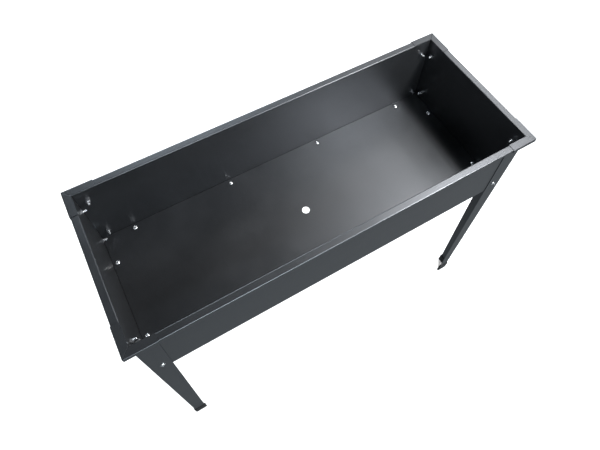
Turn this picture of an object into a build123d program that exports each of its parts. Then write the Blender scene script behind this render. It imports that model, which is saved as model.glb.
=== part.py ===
from build123d import *
import os

# Raised planter: a folded sheet-steel tray on four tapered angle legs, bolted together.
# Millimetres, +Z up, +X along the planter, +Y to its back, origin on the ground at its centre.

# Overall size
length = 1000.0
width = 398.0
height = 800.0
tray_depth = 220.0

# Sheet thicknesses and the inside radius of every bend
wall_sheet = 1.2
floor_sheet = 1.0
leg_sheet = 1.5
cap_sheet = 1.2
bend = 1.0

# Corner caps: folded covers hooked over the rim, whose outside is the planter's outside
cap_arm = 70.0
cap_lip = 10.4
cap_gap = 0.2
cap_hem = 3.0
cap_crease_width = 0.8
cap_crease_depth = 0.3
cap_corner_radius = 2.5
cap_inner_radius = 0.6

# Wall panels: lip, rim, wall and bottom flange, as distances inwards from the planter's outside
rim_inset = cap_sheet + cap_gap
rim_top = height - cap_sheet
lip_bottom = height - cap_lip + cap_sheet + cap_gap
wall_outside = 17.2
wall_inside = wall_outside + wall_sheet
flange_end = 43.0
flange_top = height - tray_depth + wall_sheet
mitre_gap = 0.15

# Tray floor, lying on the flanges
floor_inset = wall_inside + bend + 0.1
drain_radius = 10.0

# Legs: angles outside the tray's corners, their flanges narrowing to the foot
leg_inset = wall_outside - leg_sheet
leg_top = rim_top - wall_sheet - bend - 0.4
leg_top_width = 49.0
leg_foot_width = 30.5

# Foot caps
foot_wall = 2.5
foot_end_wall = 3.5
foot_floor = 3.0
foot_height = 34.0
foot_edge_radius = 0.8
foot_inner_radius = 0.5

# M6 screws and nuts
shank_radius = 3.0
hole_radius = 3.25
screw_length = 16.0
head_radius = 6.0
head_height = 3.3
head_rim = 0.6
socket_flats = 4.0
socket_depth = 1.9
nut_flats = 10.0
nut_height = 5.0
nut_bore_radius = 3.05

# Where the screws go
corner_screw_inset = 41.0
corner_screw_spacing = 150.0
corner_screw_middle = height - 117.0
floor_screw_inset = 30.5
long_side_screws = 4
long_side_pitch = 800.0 / 3.0
end_screws = 2
end_pitch = 200.0

# Wall frames: x along the wall, y inwards from the planter's outside
wall_frames = {
    "front": Plane(origin=(0, -width / 2, 0), x_dir=(1, 0, 0)),
    "back": Plane(origin=(0, width / 2, 0), x_dir=(-1, 0, 0)),
    "left": Plane(origin=(-length / 2, 0, 0), x_dir=(0, -1, 0)),
    "right": Plane(origin=(length / 2, 0, 0), x_dir=(0, 1, 0)),
}

# Corner frames: the planter's outside corner at 0, 0 and its two sides along x and y
corner_frames = {
    "front_left": Plane(origin=(-length / 2, -width / 2, 0), x_dir=(1, 0, 0)),
    "front_right": Plane(origin=(length / 2, -width / 2, 0), x_dir=(0, 1, 0)),
    "back_right": Plane(origin=(length / 2, width / 2, 0), x_dir=(-1, 0, 0)),
    "back_left": Plane(origin=(-length / 2, width / 2, 0), x_dir=(0, -1, 0)),
}

os.makedirs("parts", exist_ok=True)


def write(part, name):
    """Label a finished piece and write it as the node of that name."""
    part.label = name
    export_step(part, f"parts/{name}.step")


def wall_panel(run, floor_screws, floor_pitch):
    """One folded wall panel in its wall frame, with mitred rim and flange."""
    with BuildPart() as panel:
        with BuildSketch(Plane.YZ.offset(-run / 2)):
            with BuildLine():
                face_line = FilletPolyline(
                    (rim_inset, lip_bottom),
                    (rim_inset, rim_top),
                    (wall_inside, rim_top),
                    (wall_inside, flange_top),
                    (flange_end, flange_top),
                    radius=(bend + wall_sheet, bend + wall_sheet, bend),
                )
                offset(face_line, amount=wall_sheet, side=Side.RIGHT)
            make_face()
        extrude(amount=run)
        # both ends are cut at 45 degrees, from the outside corner inwards
        with BuildSketch():
            with BuildLine():
                half = run / 2 - mitre_gap
                Polyline(
                    (-half, 0),
                    (half, 0),
                    (half - flange_end, flange_end),
                    (flange_end - half, flange_end),
                    close=True,
                )
            make_face()
        extrude(amount=height, mode=Mode.INTERSECT)
        # below the rim the wall stops square, clear of the leg's bend
        with BuildSketch():
            with Locations((-run / 2, wall_outside), (run / 2, wall_outside)):
                Rectangle(2 * (wall_inside + mitre_gap), 2 * (wall_sheet + mitre_gap))
        extrude(amount=rim_top - wall_sheet - bend, mode=Mode.SUBTRACT)
        # holes for the corner screws
        with BuildSketch(Plane.XZ.offset(-wall_outside + 1)):
            with Locations((0, corner_screw_middle)):
                with GridLocations(run - 2 * corner_screw_inset, corner_screw_spacing, 2, 2):
                    Circle(hole_radius)
        extrude(amount=-wall_sheet - 2, mode=Mode.SUBTRACT)
        # holes for the floor screws
        with BuildSketch(Plane.XY.offset(flange_top + 1)):
            with Locations((0, floor_screw_inset)):
                with GridLocations(floor_pitch, 1, floor_screws, 1):
                    Circle(hole_radius)
        extrude(amount=-wall_sheet - 2, mode=Mode.SUBTRACT)
    return panel.part


def angle_outline(start, end, thickness, corner_radius, inner_radius):
    """An L in plan: two arms from a corner at start, start that reach to end, with a rounded bend."""
    with BuildSketch() as outline:
        with BuildLine():
            Polyline(
                (start, start),
                (end, start),
                (end, start + thickness),
                (start + thickness, start + thickness),
                (start + thickness, end),
                (start, end),
                close=True,
            )
        make_face()
        corners = outline.vertices().sort_by(Axis((0, 0, 0), (1, 1, 0)))
        fillet(corners[0], corner_radius)
        inner = outline.vertices().sort_by_distance((start + thickness, start + thickness))
        fillet(inner[0], inner_radius)
    return outline.sketch


# ---------------------------------------------------------------- the tray

long_panel = wall_panel(length, long_side_screws, long_side_pitch)
end_panel = wall_panel(width, end_screws, end_pitch)

with BuildPart(wall_frames["front"]) as front_panel:
    add(long_panel)
write(front_panel.part, "front_panel")

with BuildPart(wall_frames["back"]) as back_panel:
    add(long_panel)
write(back_panel.part, "back_panel")

with BuildPart(wall_frames["left"]) as left_end_panel:
    add(end_panel)
write(left_end_panel.part, "left_end_panel")

with BuildPart(wall_frames["right"]) as right_end_panel:
    add(end_panel)
write(right_end_panel.part, "right_end_panel")

with BuildPart() as tray_floor:
    with BuildSketch(Plane.XY.offset(flange_top)):
        Rectangle(length - 2 * floor_inset, width - 2 * floor_inset)
        Circle(drain_radius, mode=Mode.SUBTRACT)
        with GridLocations(long_side_pitch, width - 2 * floor_screw_inset, long_side_screws, 2):
            Circle(hole_radius, mode=Mode.SUBTRACT)
        with GridLocations(length - 2 * floor_screw_inset, end_pitch, 2, end_screws):
            Circle(hole_radius, mode=Mode.SUBTRACT)
    extrude(amount=floor_sheet)
write(tray_floor.part, "tray_floor")


# ---------------------------------------------------------------- legs, feet and corner caps

leg_outline = angle_outline(leg_inset, leg_inset + leg_top_width, leg_sheet, bend + leg_sheet, bend)
foot_outline = angle_outline(
    leg_inset - foot_wall,
    leg_inset + leg_foot_width + foot_end_wall,
    leg_sheet + 2 * foot_wall,
    bend + leg_sheet + foot_wall,
    foot_inner_radius,
)
cap_outline = angle_outline(0, cap_arm, wall_inside, cap_corner_radius, cap_inner_radius)

with BuildPart() as angle_leg:
    with BuildSketch(Plane.XY.offset(foot_floor)):
        add(leg_outline)
    extrude(amount=leg_top - foot_floor)
    # each flange tapers on its free edge
    for flange_plane, outwards in ((Plane.XZ, -1), (Plane.YZ, 1)):
        with BuildSketch(flange_plane):
            with BuildLine():
                Polyline(
                    (leg_inset + leg_foot_width, foot_floor),
                    (leg_inset + leg_top_width, foot_floor),
                    (leg_inset + leg_top_width, leg_top),
                    close=True,
                )
            make_face()
        extrude(amount=outwards * (leg_inset + leg_sheet + 0.1), mode=Mode.SUBTRACT)
    # holes for the corner screws, through both flanges
    for flange_plane, outwards in ((Plane.XZ, -1), (Plane.YZ, 1)):
        with BuildSketch(flange_plane):
            with Locations((corner_screw_inset, corner_screw_middle)):
                with GridLocations(1, corner_screw_spacing, 1, 2):
                    Circle(hole_radius)
        extrude(amount=outwards * (leg_inset + leg_sheet + 1), mode=Mode.SUBTRACT)

with BuildPart() as foot_sock:
    with BuildSketch():
        add(foot_outline)
    extrude(amount=foot_height)
    fillet(foot_sock.edges().group_by(Axis.Z)[-1], foot_edge_radius)
    add(angle_leg.part, mode=Mode.SUBTRACT)

with BuildPart() as rim_cap:
    # the folded shell: a solid L with its underside hollowed, leaving the top, two lips and their hems
    with BuildSketch(Plane.XY.offset(height - cap_lip)):
        add(cap_outline)
    extrude(amount=cap_lip)
    outside = rim_cap.edges().group_by(Axis.Z)[-1].filter_by(
        lambda edge: min(edge.center().X, edge.center().Y) < 1
    )
    fillet(outside, bend + cap_sheet)
    with BuildSketch(Plane.XY.offset(height - cap_lip + cap_sheet)):
        with BuildLine():
            Polyline(
                (cap_sheet, cap_sheet),
                (cap_arm + 1, cap_sheet),
                (cap_arm + 1, wall_inside + 1),
                (wall_inside + 1, wall_inside + 1),
                (wall_inside + 1, cap_arm + 1),
                (cap_sheet, cap_arm + 1),
                close=True,
            )
        make_face()
    extrude(amount=cap_lip - 2 * cap_sheet, mode=Mode.SUBTRACT)
    with BuildSketch(Plane.XY.offset(height - cap_lip)):
        with BuildLine():
            Polyline(
                (cap_hem, cap_hem),
                (cap_arm + 1, cap_hem),
                (cap_arm + 1, wall_inside + 1),
                (wall_inside + 1, wall_inside + 1),
                (wall_inside + 1, cap_arm + 1),
                (cap_hem, cap_arm + 1),
                close=True,
            )
        make_face()
    extrude(amount=cap_sheet, mode=Mode.SUBTRACT)
    # the fold's crease runs across the top from the outside corner to the inside one
    with BuildSketch(Plane.XY.offset(height - cap_crease_depth)):
        with Locations((wall_inside / 2 + 0.5, wall_inside / 2 + 0.5)):
            Rectangle(wall_inside * 1.25, cap_crease_width, rotation=45)
    extrude(amount=cap_crease_depth, mode=Mode.SUBTRACT)

for corner, frame in corner_frames.items():
    with BuildPart(frame) as leg:
        add(angle_leg.part)
    write(leg.part, f"leg_{corner}")
    with BuildPart(frame) as foot_cap:
        add(foot_sock.part)
    write(foot_cap.part, f"foot_cap_{corner}")
    with BuildPart(frame) as corner_cap:
        add(rim_cap.part)
    write(corner_cap.part, f"corner_cap_{corner}")


# ---------------------------------------------------------------- screws and nuts

# one screw, its head standing on z = 0 and its shank below
with BuildPart() as screw:
    with BuildSketch(Plane.XZ):
        with BuildLine():
            Polyline(
                (0, head_height),
                (0, -screw_length),
                (shank_radius - 0.5, -screw_length),
                (shank_radius, 0.5 - screw_length),
                (shank_radius, 0),
                (head_radius, 0),
                (head_radius, head_rim),
            )
            TangentArc((0, head_height), (head_radius, head_rim), tangent=(1, 0))
        make_face()
    revolve(axis=Axis.Z)
    with BuildSketch(Plane.XY.offset(head_height)):
        RegularPolygon(socket_flats / 2, 6, major_radius=False)
    extrude(amount=-socket_depth, mode=Mode.SUBTRACT)

# one nut, its seat on z = 0 and its body below
with BuildPart() as nut:
    with BuildSketch():
        RegularPolygon(nut_flats / 2, 6, major_radius=False)
    extrude(amount=-nut_height)
    with BuildSketch(Plane.XZ):
        with BuildLine():
            # the corners of both ends are turned down at 30 degrees
            crown = nut_flats / 2
            tip = crown + 1.2
            Polyline(
                (0, 0),
                (crown * 0.96, 0),
                (tip, -0.7),
                (tip, 0.7 - nut_height),
                (crown * 0.96, -nut_height),
                (0, -nut_height),
                close=True,
            )
        make_face()
    revolve(axis=Axis.Z, mode=Mode.INTERSECT)
    with BuildSketch():
        Circle(nut_bore_radius)
    extrude(amount=-nut_height, mode=Mode.SUBTRACT)

for corner, frame in corner_frames.items():
    heights = [corner_screw_middle + corner_screw_spacing * side / 2 for side in (-1, 1)]
    heads = [Plane((corner_screw_inset, leg_inset, z), x_dir=(1, 0, 0), z_dir=(0, -1, 0)) for z in heights]
    heads += [Plane((leg_inset, corner_screw_inset, z), x_dir=(0, 1, 0), z_dir=(-1, 0, 0)) for z in heights]
    seats = [plane.offset(-leg_sheet - wall_sheet) for plane in heads]
    with BuildPart(frame) as corner_screws:
        with Locations(*heads):
            add(screw.part)
    write(corner_screws.part, f"corner_screws_{corner}")
    with BuildPart(frame) as corner_nuts:
        with Locations(*seats):
            add(nut.part)
    write(corner_nuts.part, f"corner_nuts_{corner}")

for side, frame in wall_frames.items():
    if side in ("front", "back"):
        count, pitch = long_side_screws, long_side_pitch
    else:
        count, pitch = end_screws, end_pitch
    with BuildPart(frame) as floor_screws:
        with Locations((0, floor_screw_inset, flange_top + floor_sheet)):
            with GridLocations(pitch, 1, count, 1):
                add(screw.part)
    write(floor_screws.part, f"floor_screws_{side}")
    with BuildPart(frame) as floor_nuts:
        with Locations((0, floor_screw_inset, flange_top - wall_sheet)):
            with GridLocations(pitch, 1, count, 1):
                add(nut.part)
    write(floor_nuts.part, f"floor_nuts_{side}")
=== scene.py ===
import math

import bmesh
import bpy
from mathutils import Matrix, Vector


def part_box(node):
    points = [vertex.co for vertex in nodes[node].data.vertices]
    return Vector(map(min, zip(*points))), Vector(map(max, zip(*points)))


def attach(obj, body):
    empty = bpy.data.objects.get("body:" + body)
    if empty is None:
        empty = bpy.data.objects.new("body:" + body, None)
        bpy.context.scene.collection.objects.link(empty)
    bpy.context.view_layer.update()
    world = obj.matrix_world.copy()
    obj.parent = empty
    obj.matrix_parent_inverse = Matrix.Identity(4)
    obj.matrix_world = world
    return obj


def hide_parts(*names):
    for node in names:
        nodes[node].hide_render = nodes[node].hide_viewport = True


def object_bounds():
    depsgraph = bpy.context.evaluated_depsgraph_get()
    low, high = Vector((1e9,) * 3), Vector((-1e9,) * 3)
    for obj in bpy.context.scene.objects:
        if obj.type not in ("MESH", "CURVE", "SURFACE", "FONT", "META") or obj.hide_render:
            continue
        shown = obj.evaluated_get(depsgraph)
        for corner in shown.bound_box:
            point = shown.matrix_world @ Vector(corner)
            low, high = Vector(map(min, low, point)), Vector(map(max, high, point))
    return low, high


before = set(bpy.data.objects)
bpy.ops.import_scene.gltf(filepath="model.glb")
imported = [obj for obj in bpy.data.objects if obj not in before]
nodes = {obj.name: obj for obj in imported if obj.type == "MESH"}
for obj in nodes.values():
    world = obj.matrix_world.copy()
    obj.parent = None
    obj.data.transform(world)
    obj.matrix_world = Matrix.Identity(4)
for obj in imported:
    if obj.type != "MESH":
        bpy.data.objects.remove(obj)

# Finishes, small forms, stage and camera for the raised planter on legs.
# Metres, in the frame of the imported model: +Z up, +X along the planter, +Y to its back.

cad_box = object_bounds()
MM = 0.001

CORNERS = ("front_left", "front_right", "back_right", "back_left")
SIDES = ("front", "back", "left", "right")


# ---------------------------------------------------------------- shader helpers

def new_material(name):
    """A node material with only its Principled shader and output."""
    material = bpy.data.materials.new(name)
    material.use_nodes = True
    tree = material.node_tree
    return material, tree, tree.nodes["Principled BSDF"]


def add_node(tree, kind, **values):
    """A shader node; values name its properties or its input sockets, underscores standing for spaces."""
    node = tree.nodes.new(kind)
    for name, value in values.items():
        if hasattr(node, name):
            setattr(node, name, value)
        else:
            node.inputs[name.replace("_", " ")].default_value = value
    return node


def spread(tree, value, low, high, to_low, to_high):
    """The value, taken from low..high to to_low..to_high and held at the ends."""
    node = add_node(tree, "ShaderNodeMapRange", From_Min=low, From_Max=high, To_Min=to_low, To_Max=to_high)
    tree.links.new(value, node.inputs["Value"])
    return node.outputs["Result"]


def maths(tree, operation, first, second, clamped=False):
    """One Math node; second may be a number or a socket."""
    node = add_node(tree, "ShaderNodeMath", operation=operation, use_clamp=clamped)
    tree.links.new(first, node.inputs[0])
    if isinstance(second, (int, float)):
        node.inputs[1].default_value = second
    else:
        tree.links.new(second, node.inputs[1])
    return node.outputs["Value"]


def noise(tree, vector, scale, detail, roughness):
    node = add_node(tree, "ShaderNodeTexNoise", Scale=scale, Detail=detail, Roughness=roughness)
    tree.links.new(vector, node.inputs["Vector"])
    return node.outputs["Fac"]


def object_space(tree, scale=(1, 1, 1)):
    """The Object coordinates of the piece, stretched by scale."""
    place = add_node(tree, "ShaderNodeTexCoord")
    mapping = add_node(tree, "ShaderNodeMapping", Scale=scale)
    tree.links.new(place.outputs["Object"], mapping.inputs["Vector"])
    return mapping.outputs["Vector"]


def group_tree(name, inputs, outputs):
    """A shader node group with named sockets; returns its tree, input node and output node."""
    tree = bpy.data.node_groups.new(name, "ShaderNodeTree")
    for label, kind, value in inputs:
        socket = tree.interface.new_socket(label, in_out="INPUT", socket_type="NodeSocket" + kind)
        if value is not None:
            socket.default_value = value
    for label, kind in outputs:
        tree.interface.new_socket(label, in_out="OUTPUT", socket_type="NodeSocket" + kind)
    return tree, tree.nodes.new("NodeGroupInput"), tree.nodes.new("NodeGroupOutput")


def use_group(tree, group, vector, **values):
    """A group node in a material, fed with its coordinates and its own values."""
    node = tree.nodes.new("ShaderNodeGroup")
    node.node_tree = group
    for name, value in values.items():
        node.inputs[name.replace("_", " ")].default_value = value
    tree.links.new(vector, node.inputs["Vector"])
    return node


# ---------------------------------------------------------------- effects that several finishes share

MASK_SAMPLES = 6


def edge_wear_and_sheen_group():
    """Where a surface turns over an edge: 1 on the edge, broken up along it, and 0 on the flat. Worn edges
    on the zinc and the plastic; on the coat, partly a thinner coat and partly a painted highlight.
    """
    tree, given, result = group_tree(
        "edge_wear_and_sheen", [("Vector", "Vector", None), ("Width", "Float", 0.0008)], [("Edge", "Float")])
    rounded = add_node(tree, "ShaderNodeBevel", samples=MASK_SAMPLES)
    tree.links.new(given.outputs["Width"], rounded.inputs["Radius"])
    surface = add_node(tree, "ShaderNodeNewGeometry")
    turned = add_node(tree, "ShaderNodeVectorMath", operation="DOT_PRODUCT")
    tree.links.new(rounded.outputs["Normal"], turned.inputs[0])
    tree.links.new(surface.outputs["Normal"], turned.inputs[1])
    edge = spread(tree, turned.outputs["Value"], 0.995, 0.85, 0.0, 1.0)
    broken = spread(tree, noise(tree, given.outputs["Vector"], 160.0, 3.0, 0.6), 0.35, 0.62, 0.25, 1.0)
    tree.links.new(maths(tree, "MULTIPLY", edge, broken, clamped=True), result.inputs["Edge"])
    return tree


def painted_joint_shade_group():
    """Painted shade: 1 deep in a joint, where ambient occlusion finds the surface closed in, and 0 in the
    open.
    """
    tree, given, result = group_tree(
        "painted_joint_shade", [("Vector", "Vector", None), ("Reach", "Float", 0.004)], [("Joint shade", "Float")])
    open_sky = add_node(tree, "ShaderNodeAmbientOcclusion", samples=MASK_SAMPLES)
    tree.links.new(given.outputs["Reach"], open_sky.inputs["Distance"])
    closed = spread(tree, open_sky.outputs["AO"], 0.86, 0.45, 0.0, 1.0)
    broken = spread(tree, noise(tree, given.outputs["Vector"], 110.0, 3.0, 0.6), 0.3, 0.6, 0.7, 1.0)
    tree.links.new(maths(tree, "MULTIPLY", closed, broken, clamped=True), result.inputs["Joint shade"])
    return tree


def mitre_group():
    """1 along the diagonal of each corner of the rim, where the cap over it is folded, and 0 elsewhere."""
    tree, given, result = group_tree("corner_mitres", [("Vector", "Vector", None)], [("Fold", "Float")])
    parts = add_node(tree, "ShaderNodeSeparateXYZ")
    tree.links.new(given.outputs["Vector"], parts.inputs["Vector"])
    along = maths(tree, "ABSOLUTE", parts.outputs["X"], 0.0)
    across = maths(tree, "ABSOLUTE", parts.outputs["Y"], 0.0)
    aside = maths(tree, "SUBTRACT", maths(tree, "SUBTRACT", along, across), cad_box[1][0] - cad_box[1][1])
    line = spread(tree, maths(tree, "ABSOLUTE", aside, 0.0), 0.3 * MM, 0.9 * MM, 1.0, 0.0)
    top = spread(tree, parts.outputs["Z"], cad_box[1][2] - 3.0 * MM, cad_box[1][2] - 2.0 * MM, 0.0, 1.0)
    tree.links.new(maths(tree, "MULTIPLY", line, top, clamped=True), result.inputs["Fold"])
    return tree


def dust_group():
    """A little dust, more of it on faces that look up, in soft patches with fine specks."""
    tree, given, result = group_tree("settled_dust", [("Vector", "Vector", None)], [("Dust", "Float")])
    surface = add_node(tree, "ShaderNodeNewGeometry")
    parts = add_node(tree, "ShaderNodeSeparateXYZ")
    tree.links.new(surface.outputs["Normal"], parts.inputs["Vector"])
    upward = spread(tree, parts.outputs["Z"], 0.2, 0.95, 0.15, 1.0)
    patches = spread(tree, noise(tree, given.outputs["Vector"], 7.0, 5.0, 0.62), 0.42, 0.72, 0.0, 1.0)
    specks = spread(tree, noise(tree, given.outputs["Vector"], 900.0, 2.0, 0.6), 0.55, 0.72, 0.35, 1.0)
    amount = maths(tree, "MULTIPLY", maths(tree, "MULTIPLY", upward, patches), specks, clamped=True)
    tree.links.new(amount, result.inputs["Dust"])
    return tree


def powder_group():
    """Baked powder coat: orange peel with fine grain on it, and a faint cloudiness of colour and gloss."""
    tree, given, result = group_tree(
        "powder_coat",
        [("Vector", "Vector", None), ("Colour", "Color", (0.3, 0.3, 0.3, 1)),
         ("Gloss roughness", "Float", 0.2), ("Peel", "Float", 0.2)],
        [("Colour", "Color"), ("Roughness", "Float"), ("Height", "Float")])
    where = given.outputs["Vector"]
    peel = noise(tree, where, 330.0, 3.0, 0.55)
    grain = noise(tree, where, 2400.0, 2.0, 0.6)
    cloud = noise(tree, where, 8.0, 4.0, 0.6)
    shade = maths(tree, "MULTIPLY", spread(tree, cloud, 0.3, 0.7, 0.95, 1.05),
                  spread(tree, grain, 0.35, 0.75, 0.93, 1.08))
    tint = add_node(tree, "ShaderNodeVectorMath", operation="SCALE")
    tree.links.new(given.outputs["Colour"], tint.inputs["Vector"])
    tree.links.new(shade, tint.inputs["Scale"])
    tree.links.new(tint.outputs["Vector"], result.inputs["Colour"])
    dull = maths(tree, "ADD", spread(tree, cloud, 0.3, 0.7, -0.02, 0.03), given.outputs["Gloss roughness"])
    mottled = maths(tree, "ADD", spread(tree, peel, 0.3, 0.7, -0.015, 0.015), dull)
    tree.links.new(mottled, result.inputs["Roughness"])
    height = maths(tree, "ADD", peel, maths(tree, "MULTIPLY", grain, 0.18))
    tree.links.new(maths(tree, "MULTIPLY", height, given.outputs["Peel"]), result.inputs["Height"])
    return tree


EDGE_WEAR_AND_SHEEN = edge_wear_and_sheen_group()
JOINT_SHADE = painted_joint_shade_group()
MITRES = mitre_group()
DUST = dust_group()
POWDER = powder_group()


def blended(tree, first, second, amount):
    """Two colours mixed by a mask; either may be a socket or a colour."""
    node = add_node(tree, "ShaderNodeMix", data_type="RGBA")
    for value, socket in ((first, node.inputs[6]), (second, node.inputs[7])):
        if isinstance(value, tuple):
            socket.default_value = (*value, 1)
        else:
            tree.links.new(value, socket)
    tree.links.new(amount, node.inputs[0])
    return node.outputs[2]


def bumped(tree, height, distance, strength):
    node = add_node(tree, "ShaderNodeBump", Distance=distance, Strength=strength)
    tree.links.new(height, node.inputs["Height"])
    return node.outputs["Normal"]


# ---------------------------------------------------------------- finishes

COAT = (0.097, 0.101, 0.108)
# Lighter colour for the coat's edges: partly a thinner coat, partly a painted highlight along the bends.
COAT_THIN_AND_SHEEN = (0.13, 0.14, 0.15)
COAT_ROUGHNESS = 0.35
COAT_METALLIC = 0.9
COAT_PEEL = 0.5
COAT_THIN_AND_SHEEN_MIX = 0.35
COAT_EDGE = 0.7 * MM
PEEL_HEIGHT = 0.0002
# Painted shade: the near-black colour laid into joints and along the corner mitres, its reach and its
# strengths.
PAINTED_SHADE_COLOUR = (0.006, 0.006, 0.007)
JOINT_SHADE_REACH = 2.5 * MM
JOINT_SHADE_DARKENS = 0.45
# Painted shade along the corner mitres.
FOLD_SHADE_DARKENS = 0.8

DUST_COLOUR = (0.24, 0.235, 0.22)
DUST_ON_COAT = 0.05
DUST_ON_PLASTIC = 0.03
DUST_DULLS = 0.10
WEAR_DULLS_COAT = 0.08
SCUFF_DULLS_PLASTIC = 0.1

ZINC_CLOUDED = (0.86, 0.87, 0.89)
ZINC_CLEAR = (0.93, 0.93, 0.92)
ZINC_RUBBED = (0.93, 0.94, 0.95)
ZINC_WEAR = 0.6
ZINC_EDGE = 0.35 * MM
TURNING_MARKS = (1500, 1500, 5200)
MARK_HEIGHT = 0.00004

RESIN = (0.0045, 0.0045, 0.005)
RESIN_FLOWED = (0.009, 0.009, 0.0095)
RESIN_SCUFFED = (0.035, 0.035, 0.034)
RESIN_WEAR = 0.35
RESIN_EDGE = 0.8 * MM
SPARK_HEIGHT = 0.00008


def powder_coated(name, colour, roughness, peel, thin_and_sheen_mix):
    """Satin anthracite powder coat with a metallic flake, lighter over the folds and cut edges: partly a
    thinner coat there, partly a painted highlight along the bends. Painted shade darkens its joints and
    corner mitres.
    """
    material, tree, shader = new_material(name)
    shader.inputs["Metallic"].default_value = COAT_METALLIC
    where = object_space(tree)
    finish = use_group(tree, POWDER, where, Colour=(*colour, 1), Gloss_roughness=roughness, Peel=peel)
    edge = use_group(tree, EDGE_WEAR_AND_SHEEN, where, Width=COAT_EDGE).outputs["Edge"]
    dust = use_group(tree, DUST, where).outputs["Dust"]
    # Edges lightened: partly the thinner coat over the folds, partly a painted highlight along the bends.
    thin_and_sheen = blended(tree, finish.outputs["Colour"], COAT_THIN_AND_SHEEN, maths(tree, "MULTIPLY", edge, thin_and_sheen_mix))
    coated = blended(tree, thin_and_sheen, DUST_COLOUR, maths(tree, "MULTIPLY", dust, DUST_ON_COAT))
    # Painted shade: joints, found by ambient occlusion, are darkened towards the near-black shade colour.
    joint_shade = use_group(tree, JOINT_SHADE, where, Reach=JOINT_SHADE_REACH).outputs["Joint shade"]
    # Painted shade along the corner mitres; the same mask also sinks a real groove in the bump.
    fold = use_group(tree, MITRES, where).outputs["Fold"]
    painted_shade = maths(tree, "ADD", maths(tree, "MULTIPLY", joint_shade, JOINT_SHADE_DARKENS),
                   maths(tree, "MULTIPLY", fold, FOLD_SHADE_DARKENS), clamped=True)
    tree.links.new(blended(tree, coated, PAINTED_SHADE_COLOUR, painted_shade), shader.inputs["Base Color"])
    dulled = maths(tree, "ADD", finish.outputs["Roughness"], maths(tree, "MULTIPLY", dust, DUST_DULLS))
    rough = maths(tree, "ADD", dulled, maths(tree, "MULTIPLY", edge, WEAR_DULLS_COAT), clamped=True)
    tree.links.new(rough, shader.inputs["Roughness"])
    relief = maths(tree, "SUBTRACT", finish.outputs["Height"], fold)
    tree.links.new(bumped(tree, relief, PEEL_HEIGHT, 1.0), shader.inputs["Normal"])
    return material


def zinc_plated():
    """Bright zinc plate: faintly clouded, with fine turning marks and corners rubbed a little brighter."""
    material, tree, shader = new_material("zinc_plate")
    shader.inputs["Metallic"].default_value = 1.0
    where = object_space(tree)
    cloud = noise(tree, where, 260.0, 3.0, 0.6)
    marks = noise(tree, object_space(tree, TURNING_MARKS), 1.0, 2.0, 0.5)
    edge = use_group(tree, EDGE_WEAR_AND_SHEEN, where, Width=ZINC_EDGE).outputs["Edge"]
    plate = blended(tree, ZINC_CLOUDED, ZINC_CLEAR, spread(tree, cloud, 0.35, 0.65, 0.0, 1.0))
    rubbed = blended(tree, plate, ZINC_RUBBED, maths(tree, "MULTIPLY", edge, ZINC_WEAR))
    tree.links.new(rubbed, shader.inputs["Base Color"])
    rough = maths(tree, "ADD", spread(tree, cloud, 0.3, 0.7, 0.17, 0.26),
                  spread(tree, marks, 0.4, 0.7, 0.0, 0.05))
    tree.links.new(rough, shader.inputs["Roughness"])
    tree.links.new(bumped(tree, marks, MARK_HEIGHT, 0.5), shader.inputs["Normal"])
    return material


def moulded_plastic():
    """Black moulded plastic: fine spark grain, a little scuffing on the edges that touch the ground."""
    material, tree, shader = new_material("black_moulding")
    where = object_space(tree)
    grain = noise(tree, where, 1900.0, 2.0, 0.6)
    flow = noise(tree, where, 45.0, 3.0, 0.55)
    edge = use_group(tree, EDGE_WEAR_AND_SHEEN, where, Width=RESIN_EDGE).outputs["Edge"]
    dust = use_group(tree, DUST, where).outputs["Dust"]
    resin = blended(tree, RESIN, RESIN_FLOWED, spread(tree, flow, 0.35, 0.65, 0.0, 1.0))
    scuffed = blended(tree, resin, RESIN_SCUFFED, maths(tree, "MULTIPLY", edge, RESIN_WEAR))
    dusty = blended(tree, scuffed, DUST_COLOUR, maths(tree, "MULTIPLY", dust, DUST_ON_PLASTIC))
    tree.links.new(dusty, shader.inputs["Base Color"])
    rough = maths(tree, "ADD", spread(tree, grain, 0.35, 0.7, 0.42, 0.55),
                  maths(tree, "MULTIPLY", edge, SCUFF_DULLS_PLASTIC))
    tree.links.new(rough, shader.inputs["Roughness"])
    tree.links.new(bumped(tree, grain, SPARK_HEIGHT, 0.6), shader.inputs["Normal"])
    return material


anthracite = powder_coated("anthracite_powder_coat", COAT, COAT_ROUGHNESS, COAT_PEEL, COAT_THIN_AND_SHEEN_MIX)
zinc_plate = zinc_plated()
black_moulding = moulded_plastic()

for name, node in nodes.items():
    if "screws" in name or "nuts" in name:
        finish = zinc_plate
    elif name.startswith("foot_cap"):
        finish = black_moulding
    else:
        finish = anthracite
    node.data.materials.clear()
    node.data.materials.append(finish)


# ---------------------------------------------------------------- screws and nuts

# M6 screw, its head's seat on z = 0 and its shank below
HEAD_RADIUS = 6.0 * MM
HEAD_HEIGHT = 3.3 * MM
HEAD_RIM = 0.6 * MM
DOME_RADIUS = (HEAD_RADIUS ** 2 + (HEAD_HEIGHT - HEAD_RIM) ** 2) / (2 * (HEAD_HEIGHT - HEAD_RIM))
SOCKET_FLATS = 4.0 * MM
SOCKET_DEPTH = 1.9 * MM
SOCKET_MOUTH = SOCKET_FLATS / 2 * 1.27
DOME_RINGS = (5.9, 5.5, 4.9, 4.2, 3.5, 2.95)    # radii in millimetres, from the rim inwards
SHANK_RADIUS = 3.0 * MM
THREAD_ROOT = 2.42 * MM
THREAD_PITCH = 1.0 * MM
SCREW_LENGTH = 16.0 * MM
POINT_CHAMFER = 0.7 * MM

# The tooth of the thread: how far out each point is, and how far up the pitch
TOOTH = ((THREAD_ROOT, 0.0), (THREAD_ROOT, 0.14), (SHANK_RADIUS, 0.5), (SHANK_RADIUS, 0.62))
THREAD_TOP = -0.02 * MM
THREAD_WELD = 0.02 * MM

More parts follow.
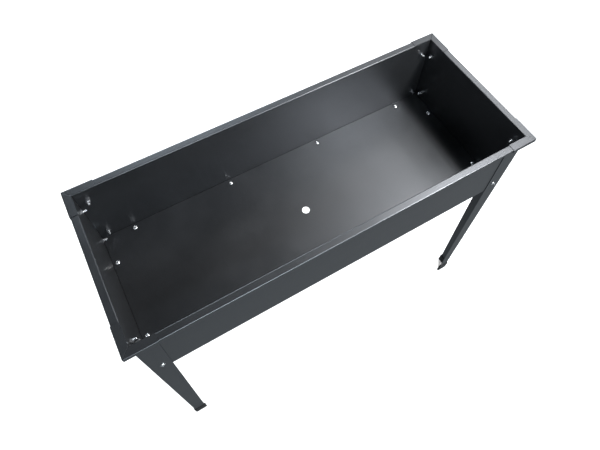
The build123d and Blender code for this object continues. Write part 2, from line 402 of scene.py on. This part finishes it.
# M6 nut, its seat on z = 0 and its body below
NUT_FLATS = 10.0 * MM
NUT_HEIGHT = 5.0 * MM
NUT_BORE = 3.05 * MM
NUT_SINK = 0.4 * MM
NUT_CROWN = 4.75 * MM
NUT_SLOPE = math.tan(math.radians(30))

ROUND = 24
THREAD_STEPS = 16


def hexagon(angle, flats):
    """How far a hexagon's side is from its middle, in the direction of angle."""
    return flats / 2 / math.cos((angle + math.pi / 6) % (math.pi / 3) - math.pi / 6)


def ringed(shape, rings):
    """A skin through rings about z. Each ring has a radius and a level, either of them a number or
    a function of the angle; the edges of the last ring are returned."""
    ring = bmesh.ops.create_circle(shape, segments=ROUND, radius=1.0)["verts"]
    edges = list({edge for vertex in ring for edge in vertex.link_edges})
    for step, (radius, level) in enumerate(rings):
        if step:
            grown = bmesh.ops.extrude_edge_only(shape, edges=edges)["geom"]
            ring = [item for item in grown if isinstance(item, bmesh.types.BMVert)]
            fresh = set(ring)
            edges = [item for item in grown if isinstance(item, bmesh.types.BMEdge)
                     and item.verts[0] in fresh and item.verts[1] in fresh]
        for vertex in ring:
            angle = math.atan2(vertex.co.y, vertex.co.x)
            reach = radius(angle) if callable(radius) else radius
            height = level(angle) if callable(level) else level
            vertex.co = Vector((reach * math.cos(angle), reach * math.sin(angle), height))
    return edges


def dome(reach):
    """The height of the screw's head at a distance from its axis."""
    return HEAD_HEIGHT - DOME_RADIUS + math.sqrt(DOME_RADIUS ** 2 - reach ** 2)


def cut_thread():
    """A row of teeth carried once round the axis while it climbs one pitch, then cut to length
    and turned to a point."""
    shape = bmesh.new()
    line = []
    for tooth in range(int(SCREW_LENGTH / THREAD_PITCH) + 2):
        foot = (tooth - 1) * THREAD_PITCH - SCREW_LENGTH
        for reach, part in TOOTH:
            line.append(shape.verts.new((reach, 0, foot + part * THREAD_PITCH)))
    edges = [shape.edges.new(pair) for pair in zip(line, line[1:])]
    bmesh.ops.spin(shape, geom=line + edges, cent=(0, 0, 0), axis=(0, 0, 1), angle=2 * math.pi,
                   dvec=(0, 0, THREAD_PITCH / THREAD_STEPS), steps=THREAD_STEPS, use_merge=False)
    bmesh.ops.remove_doubles(shape, verts=shape.verts, dist=THREAD_WELD)
    for level, away in ((-SCREW_LENGTH, -1), (THREAD_TOP, 1)):
        everything = shape.verts[:] + shape.edges[:] + shape.faces[:]
        cut = bmesh.ops.bisect_plane(shape, geom=everything, dist=1e-6, plane_co=(0, 0, level),
                                     plane_no=(0, 0, away), clear_outer=True)
        rim = [item for item in cut["geom_cut"] if isinstance(item, bmesh.types.BMEdge)]
        bmesh.ops.holes_fill(shape, edges=rim, sides=0)
    for vertex in shape.verts:
        allowed = SHANK_RADIUS - POINT_CHAMFER + vertex.co.z + SCREW_LENGTH
        reach = math.hypot(vertex.co.x, vertex.co.y)
        if reach > allowed:
            vertex.co.x *= allowed / reach
            vertex.co.y *= allowed / reach
    bmesh.ops.recalc_face_normals(shape, faces=shape.faces)
    return shape


def screw_shape():
    """A button-head screw with a hexagon socket."""
    shape = bmesh.new()
    socket_floor = HEAD_HEIGHT - SOCKET_DEPTH
    rings = [(SHANK_RADIUS * 0.8, 0.0), (HEAD_RADIUS - 0.35 * MM, 0.0),
             (HEAD_RADIUS - 0.08 * MM, 0.12 * MM), (HEAD_RADIUS, 0.35 * MM),
             (HEAD_RADIUS, HEAD_RIM - 0.1 * MM)]
    rings += [(reach * MM, dome(reach * MM)) for reach in DOME_RINGS]
    rings += [(SOCKET_MOUTH + 0.1 * MM, dome(SOCKET_MOUTH + 0.1 * MM)),
              (SOCKET_MOUTH, dome(SOCKET_MOUTH) - 0.05 * MM),
              (lambda angle: hexagon(angle, SOCKET_FLATS), dome(SOCKET_MOUTH) - 0.3 * MM),
              (lambda angle: hexagon(angle, SOCKET_FLATS), socket_floor),
              (1.1 * MM, socket_floor - 0.3 * MM), (0.1 * MM, socket_floor - 0.6 * MM)]
    bmesh.ops.holes_fill(shape, edges=ringed(shape, rings), sides=0)
    seat = [edge for edge in shape.edges if edge.is_boundary]
    bmesh.ops.holes_fill(shape, edges=seat, sides=0)
    bmesh.ops.recalc_face_normals(shape, faces=shape.faces)
    carrier = as_mesh(cut_thread(), "thread")
    shape.from_mesh(carrier)
    bpy.data.meshes.remove(carrier)
    return shape


def nut_shape():
    """A hexagon nut, its corners turned down at both ends and its bore countersunk."""
    shape = bmesh.new()
    side = lambda angle: hexagon(angle, NUT_FLATS)
    drop = lambda angle: (hexagon(angle, NUT_FLATS) - NUT_CROWN) * NUT_SLOPE
    rings = [(NUT_BORE, -NUT_SINK), (NUT_BORE + NUT_SINK, 0.0), (NUT_CROWN, 0.0),
             (side, lambda angle: -drop(angle)), (side, lambda angle: drop(angle) - NUT_HEIGHT),
             (NUT_CROWN, -NUT_HEIGHT), (NUT_BORE + NUT_SINK, -NUT_HEIGHT),
             (NUT_BORE, NUT_SINK - NUT_HEIGHT)]
    ringed(shape, rings)
    ends = [edge for edge in shape.edges if edge.is_boundary]
    bmesh.ops.bridge_loops(shape, edges=ends)
    bmesh.ops.recalc_face_normals(shape, faces=shape.faces)
    return shape


def placed(template, matrices):
    """One mesh of the template at each place."""
    shape = bmesh.new()
    for matrix in matrices:
        copy = template.copy()
        copy.transform(matrix)
        shape.from_mesh(copy)
        bpy.data.meshes.remove(copy)
    return shape


def as_mesh(shape, name):
    mesh = bpy.data.meshes.new(name)
    shape.to_mesh(mesh)
    shape.free()
    return mesh


def piece_of(shape, name, finish, slot, *replaced, smooth=35):
    """The finished piece: smooth except over sharp edges, riding on the planter and standing for
    its CAD nodes."""
    mesh = as_mesh(shape, name)
    mesh.materials.append(finish)
    mesh.shade_smooth()
    mesh.set_sharp_from_angle(angle=math.radians(smooth))
    piece = bpy.data.objects.new(name, mesh)
    bpy.context.scene.collection.objects.link(piece)
    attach(piece, "root")
    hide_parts(*replaced)
    return piece


def facing(place, outwards, turn):
    """A place whose z points outwards, turned about it."""
    aim = Vector(outwards).to_track_quat("Z", "Y").to_matrix().to_4x4()
    return Matrix.Translation(place) @ aim @ Matrix.Rotation(turn, 4, "Z")


def corner_places(kind, corner, reach, proud):
    """Where the four fasteners of a corner sit, two through each flange of its leg, and which way
    each looks. reach is the fastener's half width across and up, proud how far it stands out over
    its seat."""
    low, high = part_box(f"corner_{kind}_{corner}")
    outside = (1 if "right" in corner else -1, 1 if "back" in corner else -1)
    places = []
    for axis, other in ((0, 1), (1, 0)):
        direction = Vector((0, 0, 0))
        direction[axis] = outside[axis]
        for level in (low[2] + reach[1], high[2] - reach[1]):
            place = Vector((0, 0, level))
            place[axis] = high[axis] - proud if outside[axis] > 0 else low[axis] + proud
            place[other] = low[other] + reach[0] if outside[other] > 0 else high[other] - reach[0]
            places.append((place, direction))
    return places


def floor_places(kind, side, reach, level):
    """Where the fasteners of one side of the tray's floor sit, along the longer way of their node's box."""
    low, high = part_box(f"floor_{kind}_{side}")
    along, across = (0, 1) if side in ("front", "back") else (1, 0)
    count = FLOOR_ROW[side]
    places = []
    for number in range(count):
        place = Vector((0, 0, level))
        place[across] = (low[across] + high[across]) / 2
        place[along] = low[along] + reach + (high[along] - low[along] - 2 * reach) * number / (count - 1)
        places.append((place, Vector((0, 0, 1))))
    return places


FLOOR_ROW = {"front": 4, "back": 4, "left": 2, "right": 2}
TURN = math.radians(37)
NUT_REACH = NUT_FLATS / math.sqrt(3)

screw = as_mesh(screw_shape(), "screw")
nut = as_mesh(nut_shape(), "nut")
fasteners = []
for corner in CORNERS:
    fasteners.append((screw, f"leg_screws_{corner}", f"corner_screws_{corner}",
                      corner_places("screws", corner, (HEAD_RADIUS, HEAD_RADIUS), dome(SOCKET_FLATS / 2))))
    fasteners.append((nut, f"leg_nuts_{corner}", f"corner_nuts_{corner}",
                      corner_places("nuts", corner, (NUT_REACH, NUT_FLATS / 2), 0.0)))
for side in SIDES:
    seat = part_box(f"floor_screws_{side}")[0][2] + SCREW_LENGTH
    fasteners.append((screw, f"tray_screws_{side}", f"floor_screws_{side}",
                      floor_places("screws", side, HEAD_RADIUS, seat)))
    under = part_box(f"floor_nuts_{side}")[1][2]
    fasteners.append((nut, f"tray_nuts_{side}", f"floor_nuts_{side}",
                      floor_places("nuts", side, NUT_REACH, under)))
for row, (template, name, node_name, places) in enumerate(fasteners):
    matrices = [facing(place, way, TURN * (number + row)) for number, (place, way) in enumerate(places)]
    piece_of(placed(template, matrices), name, zinc_plate, "zinc_plated_steel", node_name)
bpy.data.meshes.remove(screw)
bpy.data.meshes.remove(nut)


# ---------------------------------------------------------------- foot caps

SOLE_ROUND = 1.2 * MM
CAP_ROUND = 0.9 * MM
SAME_PLACE = 0.001 * MM
SAME_PLANE = math.radians(0.5)
UPRIGHT = 20 * MM           # an edge that climbs more than this is one of the cap's corners
SQUARE_WITHIN = 0.05        # radians


def foot_cap_shape(node):
    """The moulded cap of a leg: the node's own solid with its upright corners and its sole rounded.
    Known fault: the rounded sole has stray faces folded over it, across the cap's open angle."""
    shape = bmesh.new()
    shape.from_mesh(node.data)
    bmesh.ops.remove_doubles(shape, verts=shape.verts, dist=SAME_PLACE)
    bmesh.ops.dissolve_limit(shape, angle_limit=SAME_PLANE, verts=shape.verts, edges=shape.edges)
    sole = min(vertex.co.z for vertex in shape.verts)
    top = max(vertex.co.z for vertex in shape.verts)
    corners = [edge for edge in shape.edges if abs(edge.verts[0].co.z - edge.verts[1].co.z) > UPRIGHT
               and edge.is_manifold and abs(edge.calc_face_angle() - math.pi / 2) < SQUARE_WITHIN
               and edge.calc_face_angle_signed() > 0 and max(v.co.z for v in edge.verts) < top]
    bmesh.ops.bevel(shape, geom=corners, offset=CAP_ROUND, offset_type="OFFSET", segments=4, profile=0.5,
                    affect="EDGES", material=-1)
    low = [edge for edge in shape.edges if max(vertex.co.z for vertex in edge.verts) < sole + SAME_PLACE]
    bmesh.ops.bevel(shape, geom=low, offset=SOLE_ROUND, offset_type="OFFSET", segments=4, profile=0.5,
                    affect="EDGES", material=-1)
    return shape


for corner in CORNERS:
    piece_of(foot_cap_shape(nodes[f"foot_cap_{corner}"]), f"foot_moulding_{corner}", black_moulding,
             "black_plastic", f"foot_cap_{corner}")


# ---------------------------------------------------------------- floor, light and camera

ROOM_LIGHT = 0.048
FLOOR_SEEN_IN_STEEL = 0.15
FLOOR_ALBEDO = 0.09
FLOOR_REACH = 60
FLOOR_TINT = (0.82, 0.93, 1.0)
PAPER = 0.60
PAPER_GLOW = 0.93
COOL = (0.84, 0.93, 1.0)
TRAY_MIDDLE = Vector((0.2, 0.0, 0.65))

CAMERA_PLACE = (-0.3309, -0.5340, 1.7851)
CAMERA_TURN = (32.79, -0.42, -29.59)        # degrees
CAMERA_LENS = 31.4
CAMERA_SHIFT = -0.105


def by_camera(tree, for_camera, for_others):
    """One shader where the camera looks, and another for everything that the light reaches."""
    path = add_node(tree, "ShaderNodeLightPath")
    either = add_node(tree, "ShaderNodeMixShader")
    tree.links.new(path.outputs["Is Camera Ray"], either.inputs["Fac"])
    tree.links.new(for_others, either.inputs[1])
    tree.links.new(for_camera, either.inputs[2])
    return either.outputs["Shader"]


def studio_floor():
    """A wide sheet of pale paper, evenly bright to the camera and dim to the planter."""
    shape = bmesh.new()
    bmesh.ops.create_grid(shape, x_segments=1, y_segments=1, size=FLOOR_REACH)
    mesh = as_mesh(shape, "studio_floor")
    floor = bpy.data.objects.new("studio_floor", mesh)
    bpy.context.scene.collection.objects.link(floor)
    material, tree, shader = new_material("studio_paper")
    shader.inputs["Roughness"].default_value = 0.95
    shader.inputs["Specular IOR Level"].default_value = 0.0
    shader.inputs["Base Color"].default_value = (FLOOR_ALBEDO,) * 3 + (1,)
    shader.inputs["Emission Color"].default_value = (*FLOOR_TINT, 1)
    shader.inputs["Emission Strength"].default_value = FLOOR_SEEN_IN_STEEL
    glow = add_node(tree, "ShaderNodeEmission", Color=(1, 1, 1, 1), Strength=PAPER_GLOW)
    paper = add_node(tree, "ShaderNodeBsdfDiffuse", Color=(PAPER, PAPER, PAPER, 1))
    bright = add_node(tree, "ShaderNodeAddShader")
    tree.links.new(paper.outputs["BSDF"], bright.inputs[0])
    tree.links.new(glow.outputs["Emission"], bright.inputs[1])
    tree.links.new(by_camera(tree, bright.outputs["Shader"], shader.outputs["BSDF"]),
                   tree.nodes["Material Output"].inputs["Surface"])
    mesh.materials.append(material)


studio_floor()


def softbox(name, place, size, power, colour=(1.0, 1.0, 1.0)):
    """A soft light that looks at the tray; the first number of its size runs along X, the second
    along Y."""
    light = bpy.data.lights.new(name, "AREA")
    light.shape = "RECTANGLE"
    light.size, light.size_y = size
    light.energy = power
    light.color = colour
    lamp = bpy.data.objects.new(name, light)
    away = (Vector(place) - TRAY_MIDDLE).normalized()
    side = Vector((0, 1, 0)).cross(away).normalized()
    turned = Matrix((side, away.cross(side), away)).transposed().to_4x4()
    lamp.matrix_world = Matrix.Translation(place) @ turned
    bpy.context.scene.collection.objects.link(lamp)


softbox("key_strip", (0.71, -0.45, 1.66), (0.14, 1.0), 28)
softbox("right_back", (1.2, 0.7, 2.3), (0.3, 0.9), 2.2)
softbox("rim_light", (1.75, 0.7, 2.3), (0.5, 0.9), 9.6)
softbox("top_back", (0.85, 0.6, 2.3), (0.35, 1.2), 3.2)
softbox("top_front", (0.85, -0.75, 2.3), (0.35, 0.5), 1.6)
softbox("front_fill", (0.1, -2.3, 1.9), (1.5, 1.5), 78, COOL)
softbox("back_fill", (0.1, 2.3, 1.9), (1.5, 1.5), 56, COOL)
softbox("left_fill", (-1.7, 0.0, 2.4), (1.5, 1.5), 2.2, COOL)
softbox("end_fill", (2.6, 0.0, 0.9), (1.2, 1.2), 8, COOL)


def studio_world():
    """A white surround for the camera; for the planter, a dim room."""
    world = bpy.data.worlds.new("studio_world")
    world.use_nodes = True
    tree = world.node_tree
    tree.nodes.clear()
    output = tree.nodes.new("ShaderNodeOutputWorld")
    room = add_node(tree, "ShaderNodeBackground", Color=(*COOL, 1), Strength=ROOM_LIGHT)
    surround = add_node(tree, "ShaderNodeBackground", Color=(1, 1, 1, 1), Strength=1.0)
    tree.links.new(by_camera(tree, surround.outputs["Background"], room.outputs["Background"]),
                   output.inputs["Surface"])
    bpy.context.scene.world = world


studio_world()

camera_data = bpy.data.cameras.new("camera")
camera_data.sensor_width = 36
camera_data.lens = CAMERA_LENS
camera_data.shift_y = CAMERA_SHIFT
camera = bpy.data.objects.new("camera", camera_data)
camera.location = CAMERA_PLACE
camera.rotation_euler = tuple(math.radians(turn) for turn in CAMERA_TURN)
bpy.context.scene.collection.objects.link(camera)
bpy.context.scene.camera = camera
bpy.context.scene.view_settings.view_transform = "Standard"
